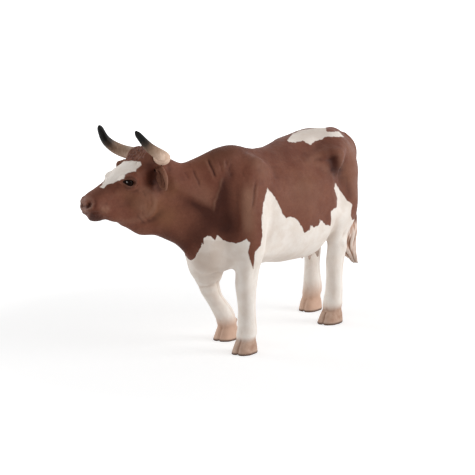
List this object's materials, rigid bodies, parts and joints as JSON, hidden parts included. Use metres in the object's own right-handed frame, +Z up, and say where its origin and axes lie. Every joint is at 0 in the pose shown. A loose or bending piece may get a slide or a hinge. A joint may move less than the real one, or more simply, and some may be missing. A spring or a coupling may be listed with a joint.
{
  "type": "toy farm animal figure",
  "caption": "Moulded toy cow with lyre-shaped horns, brown and white coat, head turned to its right, hanging tail and udder, standing on cloven hooves.",
  "frame": {"origin": "on the ground under the middle of the bounding box", "axes": "+X from tail to muzzle, +Y towards the cow's left side, +Z up"},
  "size_m": [0.1338, 0.0526, 0.0852],
  "materials": {
    "coat_brown": "satin red-brown paint on PVC",
    "coat_white": "satin off-white PVC, pink-brown towards the hooves",
    "horn": "cream PVC, shaded to black at the tips",
    "udder_pink": "satin pale pink PVC"
  },
  "bodies": {
    "root": {"trunk": "coat_brown", "head": "coat_brown", "left_horn": "horn", "right_horn": "horn", "left_ear": "coat_brown", "right_ear": "coat_brown", "left_foreleg": "coat_white", "right_foreleg": "coat_white", "left_hind_leg": "coat_white", "right_hind_leg": "coat_white", "tail": "coat_brown", "udder": "udder_pink"}
  },
  "joints": []
}
